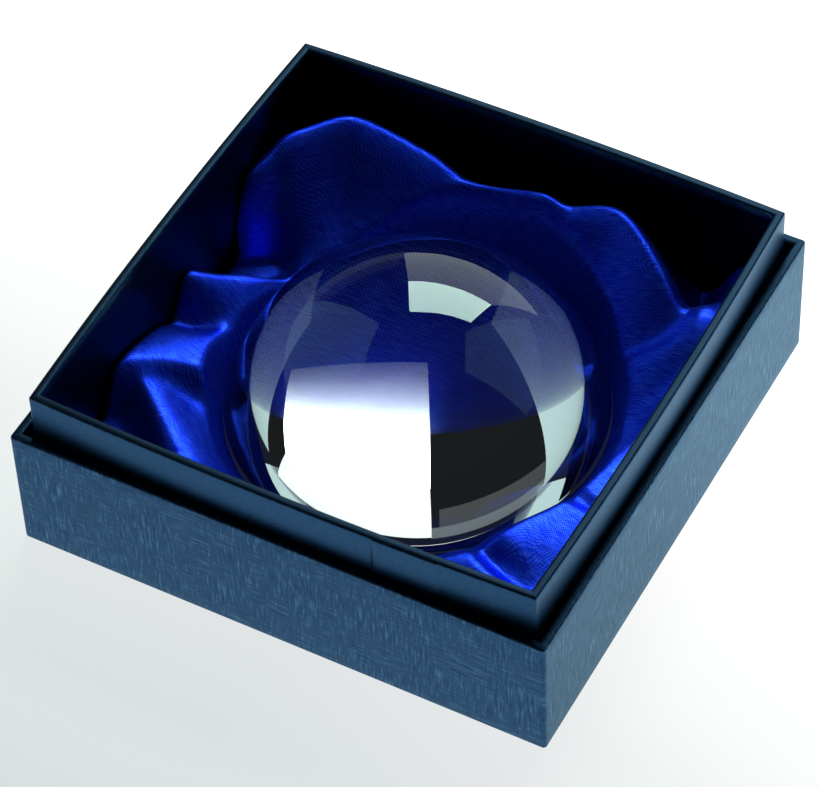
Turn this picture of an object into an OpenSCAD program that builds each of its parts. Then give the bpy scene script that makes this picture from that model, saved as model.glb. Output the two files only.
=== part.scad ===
// Crystal dome paperweight in a square shoulder box with a loose satin lining.
// The box stands on its base at z = 0, centred on the origin, with its sides along X and Y.
// The lid that slides over the shoulder is not part of this model.

/* [Tray] */
// Outside width and depth of the tray
box_w = 118; // [110:1:150]
// Outside height of the tray
tray_h = 31; // [24:0.5:40]
// Thickness of the tray's greyboard
tray_board_t = 1.6; // [1.5:0.1:3]
// Radius of the tray's upright edges, outside the paper
tray_edge_r = 0.8; // [0.5:0.1:2]

/* [Shoulder] */
// How far the shoulder stands above the tray's rim
shoulder_rise = 10; // [5:0.1:16]
// Thickness of the shoulder's board
shoulder_board_t = 1.5; // [1:0.1:2]
// How far the middle of each shoulder wall stands out beyond the shoulder's corners
shoulder_bow = 1.2; // [0.4:0.1:1.6]
// Gap between the tray's wall and the middle of the shoulder's walls
shoulder_gap = 0.3; // [0.2:0.1:1]
// Cut across each of the shoulder's upright edges, measured along the diagonal
shoulder_corner_cut = 0.3; // [0.2:0.1:0.6]

/* [Papers and tapes] */
// Thickness of every covering paper
paper_t = 0.2; // [0.1:0.05:0.25]
// Thickness of the stay tapes
tape_t = 0.1; // [0.05:0.05:0.15]
// Width of each leg of a corner stay
stay_leg = 15; // [8:1:20]
// How far the tray's paper is turned in below the rim
rim_turn_in = 15; // [6:1:18]
// How far the tray's paper is turned under the base
base_turn_under = 14; // [6:1:20]
// How far the shoulder's paper reaches down its outer face, below the tray's rim
shoulder_wrap_drop = 18; // [8:1:20]

/* [Lining] */
// Thickness of the satin
satin_t = 0.3; // [0.2:0.1:0.5]
// Clearance all round between the lining and the shoulder
lining_gap = 0.5; // [0.3:0.1:1]
// Height of the satin's folds above the table
lining_top = 27; // [20:0.5:34]
// Thickness of the card under the lining
card_t = 1.5; // [1:0.1:2.5]
// Thickness of the foam under the satin, pressed down by the dome
foam_t = 5.2; // [3:0.1:6]
// How far the satin is turned under the card
satin_turn_under = 14; // [10:1:20]
// Length of each tack strip
tack_l = 78; // [40:1:84]
// Width of each tack strip
tack_w = 8; // [4:1:9]

/* [Dome] */
// Diameter of the dome's flat base
dome_d = 80; // [60:1:84]
// Height of the dome
dome_h = 34; // [26:0.5:38]
// Width of the bevel round the base
dome_bevel = 0.5; // [0.3:0.1:1]
// Clearance all round between the dome and the satin at the base
nest_gap = 0.8; // [0.4:0.1:2]
// Clearance all round between the dome's base and the satin at the top of the folds
nest_flare = 9; // [4:0.5:10]

/* [Hidden] */

$fn = 96;
// Overshoot of a cutting shape past the face that it opens
cut = 1;

// Tray, from the outside in
tray_board_w = box_w - 2 * paper_t;
tray_inside_w = tray_board_w - 2 * tray_board_t;
tray_mouth_w = tray_inside_w - 2 * paper_t;
tray_board_z = paper_t;
tray_board_top = tray_h - paper_t;
tray_floor_z = tray_board_z + tray_board_t;
base_opening_w = box_w - 2 * base_turn_under;
// Gap round the base sheet and the floor liner where they lie inside a frame of paper or board
sheet_gap = 0.2;
// Distance that the corner stays stop short of the board's edges
stay_margin = 2;

// Shoulder, with each width measured at the corners
shoulder_z = tray_floor_z + paper_t;
shoulder_top = tray_h + shoulder_rise;
shoulder_w = tray_mouth_w - 2 * shoulder_gap - 2 * shoulder_bow;
shoulder_board_w = shoulder_w - 2 * paper_t;
shoulder_board_inside_w = shoulder_board_w - 2 * shoulder_board_t;
shoulder_mouth_w = shoulder_board_inside_w - 2 * paper_t;
// Width of the slit where the two ends of the shoulder's strip meet
joint_slit = 0.2;
// Facets of the large circles that the shoulder's walls are arcs of
bow_facets = 256;

// Lining, from the floor up
lining_w = shoulder_mouth_w - 2 * lining_gap;
pocket_w = lining_w - 2 * satin_t;
tack_z = shoulder_z + satin_t;
card_z = tack_z + tape_t;
foam_z = card_z + card_t;
satin_floor_z = foam_z + foam_t;
nest_z = satin_floor_z + satin_t;
lining_edge_r = 3;
pocket_r = lining_edge_r - satin_t;

// Dome: a cap of a sphere whose centre lies below the base by dome_drop
dome_sphere_r = (pow(dome_d / 2, 2) + pow(dome_h, 2)) / (2 * dome_h);
dome_drop = dome_sphere_r - dome_h;

// Square of the given width with rounded corners, centred on the origin
module rounded_square(width, radius) {
  square([width, width - 2 * radius], center = true);
  square([width - 2 * radius, width], center = true);
  for (x = [-1, 1], y = [-1, 1])
    translate([x, y] * (width / 2 - radius)) circle(r = radius);
}

// Upright block on a rounded square, from z = low to z = high
module rounded_block(width, radius, low, high) {
  translate([0, 0, low]) linear_extrude(high - low) rounded_square(width, radius);
}

// Upright block on a square, from z = low to z = high
module square_block(width, low, high) {
  translate([-width / 2, -width / 2, low]) cube([width, width, high - low]);
}

// Square of the given width at its corners, whose sides bow outwards as arcs of large circles
module bowed_square(width) {
  half = width / 2;
  r = (pow(half, 2) + pow(shoulder_bow, 2)) / (2 * shoulder_bow);
  intersection() {
    translate([half + shoulder_bow - r, 0]) circle(r = r, $fn = bow_facets);
    translate([r - half - shoulder_bow, 0]) circle(r = r, $fn = bow_facets);
    translate([0, half + shoulder_bow - r]) circle(r = r, $fn = bow_facets);
    translate([0, r - half - shoulder_bow]) circle(r = r, $fn = bow_facets);
  }
}

// Upright block on a bowed square
module bowed_block(width, low, high) {
  translate([0, 0, low]) linear_extrude(high - low) bowed_square(width);
}

// The same with its upright edges cut across
module bowed_cut_block(width, low, high) {
  between_cuts = width * sqrt(2) - 2 * shoulder_corner_cut;
  intersection() {
    bowed_block(width, low, high);
    rotate([0, 0, 45]) square_block(between_cuts, low, high);
  }
}

module tray_base_sheet() {
  color("#1b2b4f") square_block(base_opening_w - 2 * sheet_gap, 0, paper_t);
}

// The four L-shaped tapes, let into the board by their own thickness
module corner_stay_shapes() {
  middle = tray_board_w / 2;
  for (x = [-1, 1], y = [-1, 1])
    intersection() {
      difference() {
        rounded_block(tray_board_w, tray_edge_r - paper_t,
                      tray_board_z + stay_margin, tray_board_top - stay_margin);
        rounded_block(tray_board_w - 2 * tape_t, tray_edge_r - paper_t - tape_t,
                      tray_board_z, tray_board_top);
      }
      translate([x * middle, y * middle, tray_h / 2])
        cube([2 * stay_leg, 2 * stay_leg, tray_h], center = true);
    }
}

module tray_corner_stays() {
  color("#c9b48a") corner_stay_shapes();
}

module tray_board() {
  color("#8d8b86") difference() {
    rounded_block(tray_board_w, tray_edge_r - paper_t, tray_board_z, tray_board_top);
    square_block(tray_inside_w, tray_floor_z, tray_h);
    corner_stay_shapes();
  }
}

// One sheet: over the walls, turned in over the rim and turned under the base
module tray_wrap() {
  color("#2b4468") {
    difference() {
      rounded_block(box_w, tray_edge_r, 0, tray_h);
      rounded_block(tray_board_w, tray_edge_r - paper_t, tray_board_z, tray_board_top);
      square_block(tray_mouth_w, tray_board_top - cut, tray_h + cut);
      square_block(base_opening_w, -cut, tray_board_z + cut);
    }
    difference() {
      square_block(tray_inside_w, tray_h - rim_turn_in, tray_h);
      square_block(tray_mouth_w, tray_h - rim_turn_in - cut, tray_h + cut);
    }
  }
}

module tray_floor_liner() {
  color("#16233f") square_block(tray_inside_w - 2 * sheet_gap, tray_floor_z, shoulder_z);
}

// The tape round the corner at -X, +Y, where the two ends of the strip meet
module joint_tape_shape() {
  middle = shoulder_board_w / 2;
  intersection() {
    difference() {
      bowed_cut_block(shoulder_board_w, shoulder_z + stay_margin,
                      shoulder_top - paper_t - stay_margin);
      bowed_cut_block(shoulder_board_w - 2 * tape_t, shoulder_z, shoulder_top);
    }
    translate([-middle, middle, shoulder_top / 2])
      cube([2 * stay_leg, 2 * stay_leg, shoulder_top], center = true);
  }
}

module shoulder_joint_tape() {
  color("#c9b48a") joint_tape_shape();
}

// A strip bent round three corners, with its ends butted at the fourth
module shoulder_board() {
  inside = shoulder_board_inside_w / 2;
  color("#8d8b86") difference() {
    bowed_cut_block(shoulder_board_w, shoulder_z, shoulder_top - paper_t);
    bowed_block(shoulder_board_inside_w, shoulder_z - cut, shoulder_top);
    joint_tape_shape();
    translate([-inside - joint_slit, inside - cut, shoulder_z - cut])
      cube([joint_slit, shoulder_board_t + 2 * cut, shoulder_top]);
  }
}

// Paper over the inner face, the top edge and the upper part of the outer face
module shoulder_wrap() {
  wrap_foot = tray_h - shoulder_wrap_drop;
  color("#15203c") {
    difference() {
      bowed_cut_block(shoulder_w, wrap_foot, shoulder_top);
      bowed_cut_block(shoulder_board_w, wrap_foot - cut, shoulder_top - paper_t);
      bowed_block(shoulder_mouth_w, wrap_foot, shoulder_top + cut);
    }
    difference() {
      bowed_block(shoulder_board_inside_w, shoulder_z, shoulder_top);
      bowed_block(shoulder_mouth_w, shoulder_z - cut, shoulder_top + cut);
    }
  }
}

module insert_card() {
  color("#9a968c") rounded_block(pocket_w, pocket_r, card_z, foam_z);
}

// Four strips between the card and the satin's turned edges
module satin_tack_strips() {
  color("#e8e2cf")
    for (side = [0:3])
      rotate([0, 0, 90 * side])
        translate([-tack_l / 2, pocket_w / 2 - tack_w - satin_t, tack_z])
          cube([tack_l, tack_w, tape_t]);
}

module foam_pad() {
  color("#e9e9e4") rounded_block(pocket_w, pocket_r, foam_z, satin_floor_z);
}

// The satin's folds as one soft block with a round nest, its skirt and its turned-under edge
module satin_lining() {
  nest_r = dome_d / 2 + nest_gap;
  color("#1420c8") difference() {
    rounded_block(lining_w, lining_edge_r, shoulder_z, lining_top);
    rounded_block(pocket_w, pocket_r, tack_z, satin_floor_z);
    square_block(pocket_w - 2 * satin_turn_under, shoulder_z - cut, tack_z + cut);
    translate([0, 0, nest_z])
      cylinder(h = lining_top - nest_z + cut, r1 = nest_r, r2 = dome_d / 2 + nest_flare);
  }
}

module glass_dome() {
  base_r = dome_d / 2 - dome_bevel;
  color("#dfeef2", 0.45)
    translate([0, 0, nest_z])
      intersection() {
        translate([0, 0, -dome_drop]) sphere(r = dome_sphere_r);
        cylinder(h = dome_h + cut, r1 = base_r, r2 = base_r + dome_h + cut);
      }
}

tray_base_sheet();
tray_board();
tray_corner_stays();
tray_wrap();
tray_floor_liner();
shoulder_board();
shoulder_joint_tape();
shoulder_wrap();
insert_card();
satin_tack_strips();
foam_pad();
satin_lining();
glass_dome();
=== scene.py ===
"""A solid crystal dome paperweight in its square shoulder box, on a loose lining of blue satin."""

import math

import bpy
import numpy as np
from mathutils import Matrix, Vector


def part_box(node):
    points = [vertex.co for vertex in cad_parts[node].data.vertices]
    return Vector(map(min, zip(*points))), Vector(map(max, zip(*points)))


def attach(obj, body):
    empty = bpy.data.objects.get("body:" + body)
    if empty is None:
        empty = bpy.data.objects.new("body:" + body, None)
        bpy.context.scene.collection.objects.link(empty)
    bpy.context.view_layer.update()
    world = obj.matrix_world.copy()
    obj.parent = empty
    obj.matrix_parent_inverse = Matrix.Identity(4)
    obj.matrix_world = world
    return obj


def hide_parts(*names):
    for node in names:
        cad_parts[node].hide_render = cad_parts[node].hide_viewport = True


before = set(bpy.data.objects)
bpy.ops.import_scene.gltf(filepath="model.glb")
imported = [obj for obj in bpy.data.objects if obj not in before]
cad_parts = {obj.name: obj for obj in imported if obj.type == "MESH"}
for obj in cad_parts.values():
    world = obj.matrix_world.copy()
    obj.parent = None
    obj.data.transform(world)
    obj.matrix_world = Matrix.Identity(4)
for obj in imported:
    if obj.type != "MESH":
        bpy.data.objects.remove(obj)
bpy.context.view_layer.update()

MM = 0.001


# --- Sizes, all from the frame, in metres ---------------------------------------------------

tray_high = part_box("tray_wrap")[1]
tray_board_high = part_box("tray_board")[1]
shoulder_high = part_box("shoulder_wrap")[1]
shoulder_board_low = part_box("shoulder_board")[0]
lining_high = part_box("satin_lining")[1]
card_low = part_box("insert_card")[0]
foam_low, foam_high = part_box("foam_pad")
dome_low, dome_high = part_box("glass_dome")

tray_half = tray_high[0]
tray_top = tray_high[2]
paper_t = tray_half - tray_board_high[0]
shoulder_top = shoulder_high[2]
shoulder_foot = shoulder_board_low[2]
lining_half = lining_high[0]
satin_floor = foam_high[2]


# --- Camera: angles in degrees, distance in metres, lens in millimetres ---------------------

VIEW_AZIMUTH = 30.20
VIEW_ELEVATION = 48.91
VIEW_ROLL = -2.71
VIEW_DISTANCE = 0.797
VIEW_LENS = 175.4
VIEW_TARGET = Vector((3.0, -8.5, 24.0)) * MM


def direction(azimuth, elevation):
    """Unit vector: azimuth 0 points along +Y and 90 along +X, in degrees."""
    a, e = math.radians(azimuth), math.radians(elevation)
    return Vector((math.sin(a) * math.cos(e), math.cos(a) * math.cos(e), math.sin(e)))


def make_camera():
    data = bpy.data.cameras.new("camera")
    data.lens = VIEW_LENS
    data.clip_start = 0.01
    data.clip_end = 20
    camera = bpy.data.objects.new("camera", data)
    bpy.context.scene.collection.objects.link(camera)
    back = direction(180 - VIEW_AZIMUTH, VIEW_ELEVATION)
    right = Vector((0, 0, 1)).cross(back).normalized()
    up = back.cross(right)
    roll = math.radians(VIEW_ROLL)
    x = right * math.cos(roll) + up * math.sin(roll)
    y = up * math.cos(roll) - right * math.sin(roll)
    turn = Matrix((x, y, back)).transposed().to_4x4()
    camera.matrix_world = Matrix.Translation(VIEW_TARGET + back * VIEW_DISTANCE) @ turn
    bpy.context.scene.camera = camera


# --- Node helpers ---------------------------------------------------------------------------

def add(tree, kind, inputs=None, **settings):
    """A new shader node. An input is a socket, which is linked, or a plain value."""
    node = tree.nodes.new("ShaderNode" + kind)
    for key, value in settings.items():
        setattr(node, key, value)
    for key, value in (inputs or {}).items():
        if isinstance(value, bpy.types.NodeSocket):
            tree.links.new(value, node.inputs[key])
        else:
            node.inputs[key].default_value = value
    return node


def maths(tree, operation, a, b=0.0):
    return add(tree, "Math", {0: a, 1: b}, operation=operation).outputs[0]


def ramp(tree, factor, stops):
    """A colour ramp of (place, colour) stops."""
    node = add(tree, "ValToRGB", {"Fac": factor})
    elements = node.color_ramp.elements
    while len(elements) < len(stops):
        elements.new(0.5)
    for element, (place, colour) in zip(elements, stops):
        element.position = place
        element.color = (*colour, 1)
    return node.outputs["Color"]


def stretched(tree, position, scale):
    """The position scaled by a different amount along each axis."""
    return add(tree, "VectorMath", {0: position, 1: scale}, operation="MULTIPLY").outputs[0]


def noise(tree, position, scale, detail=3.0, roughness=0.55):
    inputs = {"Vector": position, "Scale": scale, "Detail": detail, "Roughness": roughness}
    return add(tree, "TexNoise", inputs).outputs["Fac"]


def bump(tree, height, distance, strength=1.0, normal=None):
    """A normal raised by a height, on top of another normal where one is given."""
    inputs = {"Height": height, "Distance": distance, "Strength": strength}
    if normal is not None:
        inputs["Normal"] = normal
    return add(tree, "Bump", inputs).outputs["Normal"]


def new_material(name, **constants):
    """(material, node tree, Principled node), with constants set on the shader's own sockets."""
    material = bpy.data.materials.new(name)
    material.use_nodes = True
    tree = material.node_tree
    tree.nodes.clear()
    shader = add(tree, "BsdfPrincipled", {k.replace("_", " "): v for k, v in constants.items()})
    output = add(tree, "OutputMaterial")
    tree.links.new(shader.outputs[0], output.inputs["Surface"])
    return material, tree, shader


def connect(tree, shader, **sockets):
    """Links each socket to the shader's input of the same name."""
    for key, socket in sockets.items():
        tree.links.new(socket, shader.inputs[key.replace("_", " ")])


def attribute(tree, name):
    """A vector stored on the mesh's points."""
    return add(tree, "Attribute", attribute_name=name).outputs["Vector"]


def object_position(tree):
    return add(tree, "TexCoord").outputs["Object"]


# --- Materials ------------------------------------------------------------------------------

def facing_up(tree):
    """0 on upright faces and 1 on level ones, in the object's own space."""
    normal = add(tree, "TexCoord").outputs["Normal"]
    level = add(tree, "SeparateXYZ", {0: normal}).outputs["Z"]
    return maths(tree, "POWER", maths(tree, "MAXIMUM", level, 0.0), 1.5)


def colour_mix(tree, factor, first, second):
    """The first colour socket changed towards a plain second colour."""
    mix = add(tree, "Mix", data_type="RGBA")
    tree.links.new(factor, mix.inputs[0])
    tree.links.new(first, mix.inputs[6])
    mix.inputs[7].default_value = (*second, 1)
    return mix.outputs[2]


def shaded_tops_and_edge_flecks(tree, place, colour, top_shade, edge_fleck):
    """Painted shade where a face looks up, the colour darkened towards the top shade, and lighter
    flecks along the rounded edges.
    """
    level = facing_up(tree)
    rest = maths(tree, "SUBTRACT", 1.0, level)
    edge = maths(tree, "POWER", maths(tree, "MULTIPLY", maths(tree, "MULTIPLY", level, rest), 4.0), 2.0)
    flecks = add(tree, "MapRange", {"Value": noise(tree, place, 700.0, 4.0, 0.7),
                                    "From Min": 0.42, "From Max": 0.68, "To Max": 0.75}).outputs[0]
    # Painted shade: faces that look up are darkened towards the top shade colour
    shaded = colour_mix(tree, level, colour, top_shade)
    return colour_mix(tree, maths(tree, "MULTIPLY", edge, flecks), shaded, edge_fleck)


def textured_paper():
    """Pearly blue cover paper, embossed all over with short upright and level strokes, with painted
    shade on its faces that look up.
    """
    material, tree, shader = new_material(
        "textured_paper", Metallic=0.92, Specular_Tint=(0.78, 1.0, 1.0, 1))
    place = attribute(tree, "paper_pos")
    upright = noise(tree, stretched(tree, place, (2300, 190, 1)), 1.0, 4.0, 0.65)
    level = noise(tree, stretched(tree, place, (230, 2100, 1)), 1.0, 4.0, 0.65)
    patches = noise(tree, place, 110.0, 2.0)
    choose = add(tree, "MapRange", {"Value": patches, "From Min": 0.35, "From Max": 0.72}).outputs[0]
    strokes = add(tree, "Mix", {0: choose, 2: upright, 3: level}).outputs[0]
    colour = ramp(tree, strokes, [(0.34, (0.012, 0.044, 0.125)), (0.52, (0.022, 0.078, 0.192)),
                                  (0.72, (0.095, 0.240, 0.410))])
    # Painted shade on the faces that look up, and lighter flecks along the rounded edges
    colour = shaded_tops_and_edge_flecks(tree, place, colour, (0.003, 0.009, 0.026), (0.10, 0.19, 0.30))
    rough = add(tree, "MapRange", {"Value": strokes, "To Min": 0.48, "To Max": 0.30}).outputs[0]
    normal = bump(tree, strokes, 0.00018, 0.7)
    connect(tree, shader, Base_Color=colour, Roughness=rough, Normal=normal)
    return material


def smooth_paper(name, wrapped):
    """Plain navy paper with a low sheen, faint fibres and slight waves where it is glued, with painted
    shade on its faces that look up and, when wrapped, on its inner faces.
    """
    material, tree, shader = new_material(name, Metallic=0.92, Specular_Tint=(0.85, 1.0, 1.0, 1))
    place = attribute(tree, "paper_pos") if wrapped else object_position(tree)
    fibres = noise(tree, stretched(tree, place, (900, 2600, 1)), 1.0, 4.0)
    waves = noise(tree, place, 60.0, 2.0)
    colour = ramp(tree, fibres, [(0.3, (0.015, 0.064, 0.165)), (0.7, (0.028, 0.102, 0.230))])
    if wrapped:
        # Past the rim, on the inner faces, the paper is painted darker: painted shade inside the
        # shoulder
        rim_end = shoulder_top - shoulder_low_outer() + SHOULDER_WALL
        inner_shade = add(tree, "SeparateXYZ", {0: place}).outputs["Y"]
        inner_shade = add(tree, "MapRange", {"Value": inner_shade, "From Min": rim_end,
                                            "From Max": rim_end + 2 * MM}).outputs[0]
        colour = colour_mix(tree, inner_shade, colour, (0.005, 0.011, 0.020))
    # Painted shade on the faces that look up, and lighter flecks along the rounded edges
    colour = shaded_tops_and_edge_flecks(tree, place, colour, (0.0025, 0.007, 0.020), (0.07, 0.13, 0.22))
    rough = add(tree, "MapRange", {"Value": fibres, "To Min": 0.32, "To Max": 0.42}).outputs[0]
    normal = bump(tree, fibres, 0.00003, 0.5, bump(tree, waves, 0.0004, 0.35))
    connect(tree, shader, Base_Color=colour, Roughness=rough, Normal=normal)
    return material


def fibre_board(name, dark, light, rough):
    """Pressed paper pulp: speckled, matt and slightly uneven."""
    material, tree, shader = new_material(name, Roughness=rough)
    place = object_position(tree)
    specks = noise(tree, place, 2400.0, 6.0, 0.7)
    clouds = noise(tree, place, 130.0, 3.0)
    mixed = maths(tree, "MULTIPLY_ADD", specks, 0.6)
    tree.links.new(clouds, mixed.node.inputs[2])
    colour = ramp(tree, mixed, [(0.55, dark), (0.95, light)])
    connect(tree, shader, Base_Color=colour, Normal=bump(tree, specks, 0.00008, 0.5))
    return material


def paper_tape(name, dark, light, rough):
    """Gummed paper tape: fine lengthwise fibres and a faint crease here and there."""
    material, tree, shader = new_material(name, Roughness=rough)
    place = object_position(tree)
    fibres = noise(tree, stretched(tree, place, (700, 700, 3000)), 1.0, 4.0)
    colour = ramp(tree, fibres, [(0.3, dark), (0.7, light)])
    connect(tree, shader, Base_Color=colour, Normal=bump(tree, fibres, 0.00005, 0.5))
    return material


def foam():
    """Open-cell foam: pale, matt and covered in small pores."""
    material, tree, shader = new_material("foam", Roughness=0.9)
    place = object_position(tree)
    cells = add(tree, "TexVoronoi", {"Vector": place, "Scale": 1400.0}).outputs["Distance"]
    colour = ramp(tree, cells, [(0.1, (0.83, 0.82, 0.76)), (0.6, (0.55, 0.54, 0.48))])
    connect(tree, shader, Base_Color=colour, Normal=bump(tree, cells, 0.0002, 0.7))
    return material


SATIN_PITCH = 0.6 * MM
WEAVE_DEPTH = 0.21
# How far from the middle the painted shade under the dome is full, and where it has faded out
DOME_SHADE_FULL, DOME_SHADE_GONE = 36 * MM, 42 * MM


def satin():
    """Royal-blue satin: staggered short floats of bright thread over a dark ground."""
    material, tree, shader = new_material(
        "satin", Metallic=0.88, Roughness=0.45, Anisotropic=0.35, Specular_IOR_Level=0.3,
        Specular_Tint=(0.25, 0.45, 1.0, 1))
    place = attribute(tree, "cloth_pos")
    parts = add(tree, "SeparateXYZ", {0: place})
    turn = 2 * math.pi / SATIN_PITCH
    along = maths(tree, "MULTIPLY", parts.outputs["X"], turn)
    across = maths(tree, "MULTIPLY", parts.outputs["Y"], turn)
    weave = maths(tree, "MULTIPLY", maths(tree, "COSINE", along), maths(tree, "COSINE", across))
    slubs = noise(tree, stretched(tree, place, (350, 4200, 1)), 1.0, 2.0)
    threads = maths(tree, "MULTIPLY_ADD", weave, WEAVE_DEPTH)
    tree.links.new(slubs, threads.node.inputs[2])
    colour = ramp(tree, threads, [(0.22, (0.0010, 0.0045, 0.40)), (0.50, (0.0080, 0.0320, 0.88)),
                                  (0.78, (0.050, 0.140, 1.0))])
    # Under the dome the cloth is painted darker: painted shade on the satin beneath the glass
    away = add(tree, "VectorMath", {0: place}, operation="LENGTH").outputs["Value"]
    dome_shade = add(tree, "MapRange", {"Value": away, "From Min": DOME_SHADE_FULL,
                                     "From Max": DOME_SHADE_GONE,
                                     "To Min": 0.62, "To Max": 0.0}).outputs[0]
    colour = colour_mix(tree, dome_shade, colour, (0.0004, 0.002, 0.07))
    connect(tree, shader, Base_Color=colour, Normal=bump(tree, threads, 0.00005, 0.5))
    return material


def crystal():
    """Clear optical glass. Shadow rays see it as dark and plain, so the satin below stays dim."""
    material, tree, shader = new_material(
        "crystal", Base_Color=(0.985, 1.0, 0.995, 1), Roughness=0.0, IOR=1.517,
        Transmission_Weight=1.0)
    output = next(n for n in tree.nodes if n.type == "OUTPUT_MATERIAL")
    clear = add(tree, "BsdfTransparent", {"Color": (0.05, 0.06, 0.07, 1)})
    is_shadow = add(tree, "LightPath").outputs["Is Shadow Ray"]
    mixed = add(tree, "MixShader", {0: is_shadow, 1: shader.outputs[0], 2: clear.outputs[0]})
    tree.links.new(mixed.outputs[0], output.inputs["Surface"])
    return material


# How the softbox that is seen through the glass dims, from its lower edge (0) to its upper (1)
LAMP_FADE = ((0.0, 1.0), (0.45, 0.8), (0.7, 0.35), (0.88, 0.13), (1.0, 0.06))


def emission(name, colour, strength, fade=()):
    """A glowing material, which may fade up its panel by (place, share) stops."""
    material = bpy.data.materials.new(name)
    material.use_nodes = True
    tree = material.node_tree
    tree.nodes.clear()
    light = add(tree, "Emission", {"Color": (*colour, 1), "Strength": strength})
    if fade:
        up = add(tree, "SeparateXYZ", {0: attribute(tree, "panel_up")}).outputs["X"]
        stops = [(place, tuple(c * share for c in colour)) for place, share in fade]
        tree.links.new(ramp(tree, up, stops), light.inputs["Color"])
    output = add(tree, "OutputMaterial")
    tree.links.new(light.outputs[0], output.inputs["Surface"])
    return material


# --- Studio: a light table, soft panels and a dim room --------------------------------------

PANEL_DISTANCE = 1.2
# name: (corners as azimuth and elevation from the dome, colour, radiance, how it is seen).
# A "lamp" lights and is mirrored in surfaces, a "glass" panel is seen only through the glass, and
# "all" does both.
PANELS = {
    "softbox": (((-34, 60), (18, 51), (11, 32), (-32, 36)), (0.70, 1.0, 0.86), 12.5, "lamp"),
    "softbox_glass": (((-34, 55), (18, 46), (10, 25), (-32, 28)), (0.86, 1.0, 0.99), 10.0, "glass"),
    "band": (((-32, 36), (11, 32), (17, 7), (-32, 7)), (0.86, 1.0, 0.98), 1.3, "lamp"),
    "band_glass": (((-32, 28), (10, 25), (17, 7), (-32, 7)), (0.92, 1.0, 0.98), 1.3, "glass"),
    "panel_left": (((-126, 60), (-66, 60), (-66, 8), (-126, 8)), (0.55, 0.95, 1.0), 0.5, "lamp"),
    "left_glass": (((-126, 60), (-66, 60), (-66, 8), (-126, 8)), (0.72, 1.0, 1.0), 0.75, "glass"),
    "panel_right": (((25, 58), (75, 62), (75, 16), (20, 16)), (0.55, 0.95, 1.0), 0.4, "lamp"),
    "right_glass": (((25, 58), (75, 62), (75, 16), (20, 16)), (0.72, 1.0, 1.0), 0.75, "glass"),
    "backdrop_low": (((-66, 13), (-32, 13), (-32, 6), (-66, 6)), (0.84, 1.0, 1.0), 0.2, "all"),
    "backdrop_dim": (((-66, 21), (-34, 21), (-34, 13), (-66, 13)), (0.9, 1.0, 1.0), 0.08, "all"),
}


def mesh_object(name, vertices, faces, material, smooth=True):
    """A new mesh piece with its material, linked to the scene."""
    mesh = bpy.data.meshes.new(name)
    mesh.from_pydata([tuple(v) for v in vertices], [], [tuple(f) for f in faces])
    mesh.update()
    if smooth:
        mesh.shade_smooth()
    piece = bpy.data.objects.new(name, mesh)
    bpy.context.scene.collection.objects.link(piece)
    mesh.materials.append(material)
    return piece


def make_studio():
    """The panels round the dome, the light table under the box, and the dark room."""
    centre = Vector((0, 0, dome_high[2]))
    for name, (corners, colour, radiance, seen) in PANELS.items():
        places = [centre + direction(*corner) * PANEL_DISTANCE for corner in corners]
        fade = LAMP_FADE if name == "softbox_glass" else ()
        glow = emission(name, colour, radiance, fade)
        panel = mesh_object(name, places, [(0, 1, 2, 3)], glow)
        store(panel.data, "panel_up", np.array([[1, 0, 0], [1, 0, 0], [0, 0, 0], [0, 0, 0]]))
        panel.visible_camera = False
        panel.visible_transmission = seen != "lamp"
        panel.visible_diffuse = panel.visible_glossy = seen != "glass"
    floor = floor_table()
    make_room()


def floor_table():
    """A pale translucent table top lit softly from below, a little dimmer towards the front."""
    material, tree, shader = new_material("light_table", Roughness=0.6, Emission_Strength=1.0)
    place = object_position(tree)
    parts = add(tree, "SeparateXYZ", {0: place})
    aside = maths(tree, "MULTIPLY", maths(tree, "MAXIMUM", parts.outputs["X"], 0.0), 0.35)
    depth = maths(tree, "ADD", parts.outputs["Y"], aside)
    depth = add(tree, "MapRange", {"Value": depth, "From Min": -0.13, "From Max": 0.06}).outputs[0]
    glow = ramp(tree, depth, [(0.0, (0.60, 0.65, 0.66)), (0.53, (0.80, 0.82, 0.82)),
                              (0.76, (0.96, 0.96, 0.95)), (1.0, (1.30, 1.30, 1.28))])
    tone = noise(tree, place, 3.0, 2.0)
    colour = ramp(tree, tone, [(0.3, (0.095, 0.085, 0.088)), (0.7, (0.115, 0.105, 0.108))])
    connect(tree, shader, Base_Color=colour, Emission_Color=glow)
    half, below = 3.0, -0.3 * MM
    corners = [(-half, -half, below), (half, -half, below), (half, half, below),
               (-half, half, below)]
    return mesh_object("floor", corners, [(0, 1, 2, 3)], material, smooth=False)


def make_room():
    """A dark room for reflections, with a little fill light for matt surfaces."""
    world = bpy.data.worlds.new("room")
    world.use_nodes = True
    tree = world.node_tree
    tree.nodes.clear()
    path = add(tree, "LightPath")
    dim = add(tree, "Background", {"Color": (0.9, 1.0, 1.0, 1), "Strength": 0.012})
    fill = add(tree, "Background", {"Color": (0.9, 0.95, 1.0, 1), "Strength": 0.07})
    mixed = add(tree, "MixShader", {0: path.outputs["Is Diffuse Ray"], 1: dim.outputs[0],
                                    2: fill.outputs[0]})
    output = add(tree, "OutputWorld")
    tree.links.new(mixed.outputs[0], output.inputs["Surface"])
    bpy.context.scene.world = world
    bpy.context.scene.view_settings.view_transform = "Standard"


# --- Box covers: a thin profile swept round a square ----------------------------------------

CORNER_STEPS = 6
SIDE_STEPS = 96


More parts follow.
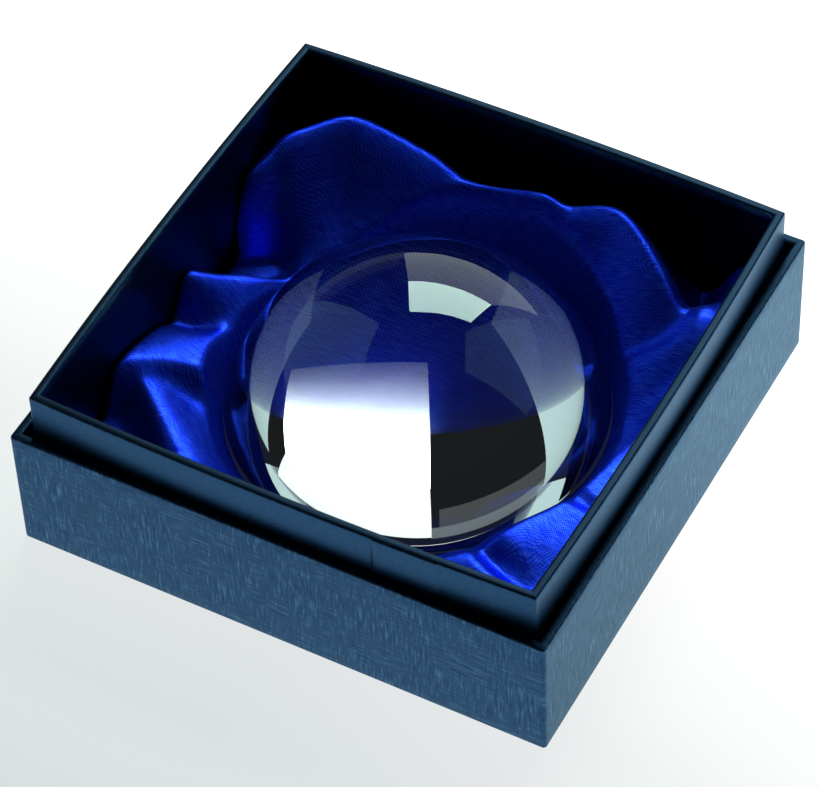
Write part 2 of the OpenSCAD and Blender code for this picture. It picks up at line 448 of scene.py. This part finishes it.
def ring(half, radius, extra=()):
    """Points round a square with rounded corners, with extra columns where they are asked for."""
    radius = max(radius, 0.05 * MM)
    flat = half - radius
    side = np.sort(np.append(np.linspace(-flat, flat, SIDE_STEPS + 1), extra))
    turns = np.linspace(-math.pi / 2, 0, CORNER_STEPS + 1)[1:-1]
    edge = [(x, -half) for x in side]
    edge += [(flat + radius * math.cos(t), -flat + radius * math.sin(t)) for t in turns]
    edge = np.array(edge)
    quarter = np.array([[0, -1], [1, 0]])
    points = [edge]
    for _ in range(3):
        points.append(points[-1] @ quarter.T)
    return np.concatenate(points)


def arc(cx, cz, radius, start, end, steps=5):
    """Points on an arc in a profile, with angles in degrees."""
    angles = np.radians(np.linspace(start, end, steps))
    return [(cx - radius * math.cos(a), cz + radius * math.sin(a)) for a in angles]


def subdivided(profile, longest):
    """A closed profile whose long straight runs are cut into steps."""
    points = []
    for (a, b) in zip(profile, profile[1:] + profile[:1]):
        length = math.dist(a, b)
        count = max(1, math.ceil(length / longest))
        points += [(a[0] + (b[0] - a[0]) * k / count, a[1] + (b[1] - a[1]) * k / count)
                   for k in range(count)]
    return points


def sweep(name, half, radius, profile, material, warp=None, extra=()):
    """A closed ring of paper. The profile holds (distance in from the outer face, height)."""
    profile = subdivided(profile, 2.5 * MM)
    rings = []
    for inset, height in profile:
        flat = ring(half - inset, radius - inset, extra)
        rings.append(np.column_stack([flat, np.full(len(flat), height)]))
    count = len(rings[0])
    vertices = np.concatenate(rings)
    if warp is not None:
        vertices = warp(vertices)
    faces = []
    for k in range(len(rings)):
        following = (k + 1) % len(rings)
        for i in range(count):
            j = (i + 1) % count
            faces.append((k * count + i, following * count + i, following * count + j,
                          k * count + j))
    piece = mesh_object(name, vertices, faces, material)
    steps = np.linalg.norm(np.diff(rings[0], axis=0), axis=1)
    along = np.concatenate([[0], np.cumsum(steps)])
    up = np.concatenate([[0], np.cumsum([math.dist(a, b) for a, b in zip(profile, profile[1:])])])
    values = np.zeros((len(rings), count, 3), np.float32)
    values[:, :, 0] = along[None, :]
    values[:, :, 1] = up[:, None]
    store(piece.data, "paper_pos", values.reshape(-1, 3))
    return piece


def store(mesh, name, values):
    """Keeps one vector for each point of the mesh."""
    layer = mesh.attributes.new(name, "FLOAT_VECTOR", "POINT")
    layer.data.foreach_set("vector", np.ascontiguousarray(values, np.float32).ravel())


def waviness(points, size, scale, seed):
    """A smooth pseudo-random offset for each point, from a few fixed waves."""
    rng = np.random.default_rng(seed)
    total = np.zeros(len(points))
    for _ in range(6):
        wave = rng.normal(0, 1, 3)
        wave /= np.linalg.norm(wave)
        total += np.sin(points @ wave * scale * rng.uniform(0.6, 1.7) + rng.uniform(0, 6.28))
    return total * size / 6


TURN_IN = 15 * MM


def make_tray_cover(material):
    """Paper up the tray's outer faces, over its rim and down inside, and in under its base."""
    wall = tray_half - mouth_half("tray_wrap")
    turn_in = tray_top - TURN_IN
    rim, crease = 0.5 * MM, 0.6 * MM
    under = tray_half - base_opening_half()
    inner = paper_t
    profile = [(under, 0.0)]
    profile += arc(crease, crease, crease, -90, 0)
    profile += arc(rim, tray_top - rim, rim, 0, 90)
    profile += arc(wall - rim, tray_top - rim, rim, 90, 180)
    profile += [(wall, turn_in), (wall - inner, turn_in)]
    profile += arc(wall - rim, tray_top - rim, rim - inner, 180, 90)
    profile += arc(rim, tray_top - rim, rim - inner, 90, 0)
    profile += arc(crease, crease, crease - inner, 0, -90)
    profile += [(under, inner)]
    piece = sweep("tray_cover", tray_half, 0.8 * MM, profile, material)
    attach(piece, "tray")
    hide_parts("tray_wrap")


def mouth_half(node):
    """Half the width of a node's mouth, measured to its nearest vertex at the top."""
    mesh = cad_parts[node].data
    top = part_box(node)[1][2]
    reach = [max(abs(v.co.x), abs(v.co.y)) for v in mesh.vertices if v.co.z > top - 0.01 * MM]
    return min(reach)


def base_opening_half():
    """Half the width of the opening in the paper under the tray."""
    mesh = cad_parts["tray_wrap"].data
    return min(max(abs(v.co.x), abs(v.co.y)) for v in mesh.vertices if v.co.z < 0.01 * MM)


# The shoulder's wall: its board with paper on both faces
SHOULDER_BOARD_T = 1.5 * MM
SHOULDER_WALL = 2 * paper_t + SHOULDER_BOARD_T

# The lap of the paper that covers the shoulder, on its front face: where it starts and its steps
LAP_START, LAP_END = 21.0 * MM, 35.0 * MM
LAP_COLUMNS = (LAP_START, LAP_START + 0.12 * MM, LAP_END, LAP_END + 0.12 * MM)


def shoulder_warp(corner_half, bow):
    """A function that bows the sides of a square outwards and lifts the lap of its paper."""
    def warp(points):
        x, y, z = points.T
        outer = (y < -corner_half + 0.1 * MM) & (x > LAP_START) & (x < LAP_END + 0.1 * MM)
        wide = 1 + bow / corner_half * (1 - (y / corner_half) ** 2)
        deep = 1 + bow / corner_half * (1 - (x / corner_half) ** 2)
        return np.column_stack([x * wide, y * deep - np.where(outer, paper_t * 0.7, 0), z])
    return warp


def make_shoulder_cover(material):
    """Paper over both faces and the rim of the shoulder, which bows outwards between corners."""
    corner_half = mouth_half("shoulder_wrap") + SHOULDER_WALL
    bow = shoulder_high[0] - corner_half
    rim, inner = 0.5 * MM, paper_t
    top, wall = shoulder_top, SHOULDER_WALL
    profile = [(0.0, shoulder_low_outer())]
    profile += arc(rim, top - rim, rim, 0, 90)
    profile += arc(wall - rim, top - rim, rim, 90, 180)
    profile += [(wall, shoulder_foot), (wall - inner, shoulder_foot)]
    profile += arc(wall - rim, top - rim, rim - inner, 180, 90)
    profile += arc(rim, top - rim, rim - inner, 90, 0)
    profile += [(inner, shoulder_low_outer())]
    piece = sweep("shoulder_cover", corner_half, 0.35 * MM, profile, material,
                  shoulder_warp(corner_half, bow), LAP_COLUMNS)
    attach(piece, "tray")
    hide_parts("shoulder_wrap")


def shoulder_low_outer():
    """Height of the foot of the paper on the shoulder's outer face."""
    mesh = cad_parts["shoulder_wrap"].data
    out = shoulder_high[0] - 2 * MM
    return min(v.co.z for v in mesh.vertices if abs(v.co.x) > out or abs(v.co.y) > out
               if v.co.z > shoulder_foot + 1 * MM)


# --- Glass dome -----------------------------------------------------------------------------

def make_dome(material):
    """The dome as a turned solid: flat polished base, small rounded bevel, spherical cap."""
    base, top = dome_low[2], dome_high[2]
    radius = dome_high[0]
    height = top - base
    # The widest ring sits just above the base, over the bevel
    bevel = 0.5 * MM
    ball = (radius ** 2 + height ** 2) / (2 * height)
    centre = top - ball
    low = base + bevel
    reach = math.sqrt(ball ** 2 - (low - centre) ** 2)
    start = math.atan2(low - centre, reach)
    profile = [(r, base) for r in np.linspace(0, reach - bevel, 14)[1:]]
    for t in np.linspace(0, 1, 6)[1:-1]:
        bulge = 0.25 * bevel * math.sin(math.pi * t)
        profile.append((reach - bevel * (1 - t) + bulge * 0.7, base + bevel * t - bulge * 0.7))
    profile += [(ball * math.cos(a), centre + ball * math.sin(a))
                for a in np.linspace(start, math.pi / 2, 97)[:-1]]
    turns = 256
    vertices = [(0, 0, base)]
    for r, z in profile:
        for k in range(turns):
            a = 2 * math.pi * k / turns
            vertices.append((r * math.cos(a), r * math.sin(a), z))
    vertices.append((0, 0, top))
    last = len(vertices) - 1
    faces = []
    for k in range(turns):
        following = (k + 1) % turns
        faces.append((0, 1 + following, 1 + k))
        for row in range(len(profile) - 1):
            a, b = 1 + row * turns, 1 + (row + 1) * turns
            faces.append((a + k, a + following, b + following, b + k))
        row = 1 + (len(profile) - 1) * turns
        faces.append((row + k, row + following, last))
    piece = mesh_object("crystal_dome", vertices, faces, material)
    piece.data.set_sharp_from_angle(angle=math.radians(22))
    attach(piece, "dome")
    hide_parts("glass_dome")


# --- Foam pad -------------------------------------------------------------------------------

def make_foam(material):
    """The foam pad, slightly soft at its edges."""
    low, high = foam_low[2], foam_high[2] - 0.2 * MM
    half = foam_high[0] - 0.2 * MM
    count = 49
    span = np.linspace(-1, 1, count)
    u, v = np.meshgrid(span, span, indexing="ij")
    x, y = u * half, v * half
    edge = np.maximum(np.abs(u), np.abs(v))
    drop = 1.2 * MM * np.clip((edge - 0.94) / 0.06, 0, 1) ** 2
    points = np.column_stack([x.ravel(), y.ravel(), np.full(count * count, 0.0)])
    top = points.copy()
    top[:, 2] = high - drop.ravel() - np.abs(waviness(points, 0.1 * MM, 260, 5))
    bottom = points.copy()
    bottom[:, 2] = low
    n = count * count
    faces = []
    for i in range(count - 1):
        for j in range(count - 1):
            a, b = i * count + j, (i + 1) * count + j
            c, d = b + 1, a + 1
            faces += [(a, b, c, d), (n + d, n + c, n + b, n + a)]
    border = [i * count for i in range(count)]
    border += [(count - 1) * count + j for j in range(1, count)]
    border += [i * count + count - 1 for i in range(count - 2, -1, -1)]
    border += list(range(count - 2, 0, -1))
    for a, b in zip(border, border[1:] + border[:1]):
        faces.append((a, n + a, n + b, b))
    piece = mesh_object("foam_layer", np.concatenate([top, bottom]), faces, material)
    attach(piece, "insert")
    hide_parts("foam_pad")


# --- Satin lining ---------------------------------------------------------------------------

GRID = 161
# Shares of the way from the sheet's middle to its edge: where its top ends, and its sides
TOP_SHARE, WALL_SHARE = 0.66, 0.86
TURN_UNDER = 14 * MM
# The height above which the sheet leans on the shoulder's bowed walls
LEAN_FROM = 12 * MM

# Crests of the folds as (x, y, height) in millimetres, then how far each fold spreads to the
# left and to the right of its crest, seen along it, and past its ends. A wide fold is also
# rounder along its crest.
FOLDS = [
    ([(-53, 21, 26), (-52, 28, 30), (-49, 40, 32)], 2.5, 4.5, 1.5),
    ([(-51, 36, 32), (-44, 45, 33), (-38, 48, 33), (-22, 47, 31), (-11, 45, 29), (5, 46, 32),
      (11, 46, 31), (22, 48, 33), (34, 42, 29), (42, 37, 22)], 3.5, 10.0, 2.0),
    ([(5, 45, 32), (4, 43, 26), (3, 41, 18)], 2.5, 3.5, 2.0),
    ([(-53, 22, 22), (-48, 25, 21), (-42, 29, 19)], 12.0, 1.5, 2.0),
    ([(-54, 1, 24), (-49, 6, 20), (-45, 12, 17), (-40, 15, 12)], 2.5, 7.0, 2.5),
    ([(-54, -28, 24), (-47, -22, 21), (-38, -19, 16)], 22.0, 3.5, 3.0),
    ([(-50, -25, 21), (-39, -34, 19), (-28, -43, 17)], 7.0, 4.5, 4.0),
    ([(49, 52, 26), (46, 40, 26), (44, 32, 23), (38, 27, 17)], 12.0, 5.0, 2.5),
    ([(50, 24, 20), (48, 12, 17), (46, 4, 15)], 7.0, 6.0, 4.0),
    ([(44, 8, 13), (42, -4, 17), (41, -8, 17), (48, -13, 17)], 14.0, 1.2, 2.0),
    ([(46, -12, 18), (38, -19, 19), (35, -26, 20), (30, -34, 19), (20, -43, 17)], 22.0, 1.2, 2.0),
    ([(31, -36, 19), (38, -39, 20), (45, -43, 20)], 2.8, 5.0, 2.0),
    ([(50, -20, 15), (50, -34, 16), (48, -46, 19), (38, -48, 20)], 8.0, 10.0, 6.0),
    ([(-48, -44, 15), (-36, -50, 15), (12, -50, 16), (30, -46, 17)], 4.0, 4.0, 4.0),
]
# Hollows pressed between the folds: centre, heading in degrees, half length, half width, depth
HOLLOWS = [
    (-51, 17, 25, 8, 4.5, 22),
    (-50, -5, 20, 6, 3.5, 3.5),
    (35, -34, -24, 6.5, 2, 3.5),
    (42, 47, -45, 7.5, 4, 8),
    (44, -13, -15, 4.5, 1.3, 2.4),
]
# How far the lining rises between the dome and the walls, in millimetres, and a fold's roundness
# as a share of its spread, with its least and its most in millimetres
BASE_RISE = 5.0
CREST_ROUND, ROUND_LEAST, ROUND_MOST = 0.8, 2.4, 9.0


def splined(points, steps=6):
    """Catmull-Rom curve through the points."""
    p = np.array(points, float)
    p = np.concatenate([[2 * p[0] - p[1]], p, [2 * p[-1] - p[-2]]])
    curve = []
    for a, b, c, d in zip(p, p[1:], p[2:], p[3:]):
        for t in np.arange(steps) / steps:
            curve.append(0.5 * (2 * b + (c - a) * t + (2 * a - 5 * b + 4 * c - d) * t ** 2
                                + (3 * b - a - 3 * c + d) * t ** 3))
    return curve + [p[-2]]


def blurred(field, passes):
    """The field smoothed with a small kernel, with its border kept."""
    for _ in range(passes):
        padded = np.pad(field, 1, mode="edge")
        across = (padded[:-2, 1:-1] + 2 * padded[1:-1, 1:-1] + padded[2:, 1:-1]) / 4
        padded = np.pad(across, 1, mode="edge")
        field = (padded[1:-1, :-2] + 2 * padded[1:-1, 1:-1] + padded[1:-1, 2:]) / 4
    return field


def crest_height(x, y, crest, left, right, end, floor):
    """Height of one fold: highest along its crest, with flanks that fall in a hollow curve."""
    crest = splined(crest)
    best = np.full(x.shape, -1e9)
    for k, ((ax, ay, az), (bx, by, bz)) in enumerate(zip(crest, crest[1:])):
        dx, dy = bx - ax, by - ay
        along = ((x - ax) * dx + (y - ay) * dy) / (dx * dx + dy * dy)
        t = np.clip(along, 0, 1)
        away = np.hypot(x - ax - t * dx, y - ay - t * dy)
        side = dx * (y - ay) - dy * (x - ax)
        spread = np.where(side > 0, left, right)
        past = ((k == 0) & (along < 0)) | ((k == len(crest) - 2) & (along > 1))
        spread = np.where(past, end, spread)
        rounding = np.clip(CREST_ROUND * spread, ROUND_LEAST, ROUND_MOST)
        fall = (np.sqrt(away ** 2 + rounding ** 2) - rounding) / spread
        best = np.maximum(best, floor + (az + t * (bz - az) - floor) * np.exp(-fall))
    return best


def fold_height(x, y):
    """Height of the lining's surface in millimetres over a point of the foam, before settling."""
    r = np.hypot(x, y)
    floor = satin_floor / MM + 0.25
    nest = dome_high[0] / MM + 0.6
    out = np.clip((r - nest) / 12, 0, 1)
    layers = [floor + BASE_RISE * out ** 1.2]
    layers += [crest_height(x, y, crest, left, right, end, floor)
               for crest, left, right, end in FOLDS]
    sharpness = 1.3
    stack = np.stack(layers)
    peak = stack.max(axis=0)
    height = peak + np.log(np.exp((stack - peak) * sharpness).sum(axis=0)) / sharpness
    height -= np.log(len(layers)) / sharpness * np.exp(-(peak - floor) / 2.0)
    for cx, cy, heading, half_long, half_wide, depth in HOLLOWS:
        turn = math.radians(heading)
        along = ((x - cx) * math.cos(turn) + (y - cy) * math.sin(turn)) / half_long
        across = ((y - cy) * math.cos(turn) - (x - cx) * math.sin(turn)) / half_wide
        dip = depth * np.exp(-(along ** 2 + across ** 2))
        height = np.maximum(height - dip, np.minimum(height, floor + 1.0))
    # The surface climbs outwards from the dome's base and stays outside the glass
    ceiling = floor + 0.05 + np.clip(r - nest, 0, None) * 6.0
    return np.where(r < nest, floor, np.minimum(height, ceiling))


def wall_reach(across):
    """How far out the satin may go at a place along a wall of the bowed shoulder."""
    corner = mouth_half("shoulder_wrap")
    bow = shoulder_high[0] - corner - SHOULDER_WALL
    return corner + bow * (1 - (across / corner) ** 2) - 0.35 * MM


def satin_grid():
    """Positions of the sheet's points, and the flat place of each, both in metres."""
    span = np.linspace(-1, 1, GRID)
    u, v = np.meshgrid(span, span, indexing="ij")
    rho = np.maximum(np.maximum(np.abs(u), np.abs(v)), 1e-6)
    ru, rv = u / rho, v / rho
    half = lining_half - 0.1 * MM
    inner = np.minimum(rho / TOP_SHARE, 1)
    x, y = ru * inner * half, rv * inner * half
    z = blurred(fold_height(x / MM, y / MM), 2) * MM
    low = card_low[2] - 0.22 * MM
    down = np.clip((rho - TOP_SHARE) / (WALL_SHARE - TOP_SHARE), 0, 1)
    z = z * (1 - down) + low * down
    under = np.clip((rho - WALL_SHARE) / (1 - WALL_SHARE), 0, 1)
    x -= ru * under * TURN_UNDER
    y -= rv * under * TURN_UNDER
    # Above the foam the sheet leans out to the bowed walls
    lean = inner ** 5 * np.clip((z / MM - LEAN_FROM / MM) / 4, 0, 1)
    wider, deeper = wall_reach(y) / half - 1, wall_reach(x) / half - 1
    x, y = x * (1 + wider * lean), y * (1 + deeper * lean)
    points = np.stack([x, y, z], axis=-1)
    flat = np.zeros_like(points)
    across = np.linalg.norm(np.diff(points, axis=0), axis=-1)
    deep = np.linalg.norm(np.diff(points, axis=1), axis=-1)
    flat[1:, :, 0] = np.cumsum(across, axis=0)
    flat[:, 1:, 1] = np.cumsum(deep, axis=1)
    middle = GRID // 2
    flat[:, :, 0] -= flat[middle, :, 0][None, :]
    flat[:, :, 1] -= flat[:, middle, 1][:, None]
    return points, flat, rho


SIM_SCALE = 20.0
SIM_FRAMES = 26
# How firmly the loose part of the sheet is held to where it starts, from 0 to 1
LOOSE_HOLD = 0.45


def settle(piece, hold):
    """Runs Blender's cloth on the sheet, at a larger scale, held softly to where it starts."""
    mesh = piece.data
    scene = bpy.context.scene
    start = np.empty(len(mesh.vertices) * 3, np.float32)
    mesh.vertices.foreach_get("co", start)
    mesh.vertices.foreach_set("co", start * SIM_SCALE)
    group = piece.vertex_groups.new(name="held")
    for level in np.unique(hold):
        chosen = np.flatnonzero(hold == level).tolist()
        group.add(chosen, float(level), "REPLACE")
    cloth = piece.modifiers.new("cloth", "CLOTH")
    settings = cloth.settings
    settings.quality = 6
    settings.mass = 0.25
    settings.tension_stiffness = 25
    settings.compression_stiffness = 25
    settings.shear_stiffness = 8
    settings.bending_stiffness = 4.0
    settings.air_damping = 2.0
    settings.vertex_group_mass = group.name
    settings.pin_stiffness = 6.0
    settings.shrink_min = -0.012
    settings.effector_weights.gravity = 0.25
    cloth.point_cache.frame_start = 1
    cloth.point_cache.frame_end = SIM_FRAMES
    for number in range(1, SIM_FRAMES + 1):
        scene.frame_set(number)
    evaluated = piece.evaluated_get(bpy.context.evaluated_depsgraph_get())
    settled = np.empty(len(mesh.vertices) * 3, np.float32)
    evaluated.to_mesh().vertices.foreach_get("co", settled)
    evaluated.to_mesh_clear()
    piece.modifiers.remove(cloth)
    piece.vertex_groups.clear()
    scene.frame_set(1)
    return settled.reshape(-1, 3) / SIM_SCALE


def keep_clear(points):
    """Moves any point of the sheet out of the dome and the walls, and lays it under the dome."""
    margin = 0.15 * MM
    top = dome_high[2]
    height = top - dome_low[2]
    ball = (dome_high[0] ** 2 + height ** 2) / (2 * height) + margin
    centre = np.array([0, 0, top - ball + margin])
    offset = points - centre
    away = np.linalg.norm(offset, axis=1)
    inside = (away < ball) & (points[:, 2] > dome_low[2] - 0.1 * MM)
    r = np.hypot(points[:, 0], points[:, 1])
    reach = np.sqrt(np.maximum(ball ** 2 - (points[:, 2] - centre[2]) ** 2, 0))
    push = np.where(inside, reach / np.maximum(r, 1e-6), 1.0)
    under = inside & (r < dome_high[0] - 1.5 * MM)
    push[under] = 1.0
    points[:, 0] *= push
    points[:, 1] *= push
    points[under, 2] = dome_low[2] - 0.15 * MM
    for axis, other in ((0, 1), (1, 0)):
        limit = np.where(points[:, 2] > LEAN_FROM, wall_reach(points[:, other]),
                         lining_half + 0.2 * MM)
        points[:, axis] = np.clip(points[:, axis], -limit, limit)
    return points


def make_satin(material):
    """The sheet of satin: shaped into its folds, settled as cloth, and kept clear of the rest."""
    points, flat, rho = satin_grid()
    shape = points.reshape(-1, 3)
    index = np.arange(GRID * GRID).reshape(GRID, GRID)
    faces = np.stack([index[:-1, :-1], index[1:, :-1], index[1:, 1:], index[:-1, 1:]], -1)
    piece = mesh_object("satin_sheet", shape, faces.reshape(-1, 4).tolist(), material)
    store(piece.data, "cloth_pos", flat.reshape(-1, 3))
    r = np.hypot(shape[:, 0], shape[:, 1])
    free = (rho.ravel() < TOP_SHARE + 0.04) & (r > dome_high[0])
    hold = np.where(free, LOOSE_HOLD, 1.0)
    settled = keep_clear(settle(piece, hold))
    piece.data.vertices.foreach_set("co", settled.astype(np.float32).ravel())
    piece.data.update()
    finer = piece.modifiers.new("finer", "SUBSURF")
    finer.levels = finer.render_levels = 1
    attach(piece, "insert")
    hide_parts("satin_lining")


# --- Everything together --------------------------------------------------------------------

def finish_cad_nodes():
    """Gives each CAD node that stays in view its material."""
    grey = fibre_board("greyboard", (0.19, 0.18, 0.165), (0.33, 0.32, 0.295), 0.85)
    card = fibre_board("white_card", (0.55, 0.53, 0.47), (0.70, 0.68, 0.62), 0.75)
    stay = paper_tape("stay_tape", (0.50, 0.38, 0.22), (0.62, 0.50, 0.31), 0.6)
    tack = paper_tape("tack_tape", (0.74, 0.70, 0.58), (0.84, 0.80, 0.68), 0.45)
    plain = smooth_paper("liner_paper", wrapped=False)
    looks = {
        "tray_board": grey, "shoulder_board": grey, "insert_card": card,
        "tray_corner_stays": stay, "shoulder_joint_tape": stay, "satin_tack_strips": tack,
        "tray_base_sheet": plain, "tray_floor_liner": plain,
    }
    for node, material in looks.items():
        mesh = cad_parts[node].data
        mesh.materials.clear()
        mesh.materials.append(material)


make_camera()
make_studio()
finish_cad_nodes()
make_tray_cover(textured_paper())
make_shoulder_cover(smooth_paper("smooth_paper", wrapped=True))
make_foam(foam())
make_satin(satin())
make_dome(crystal())
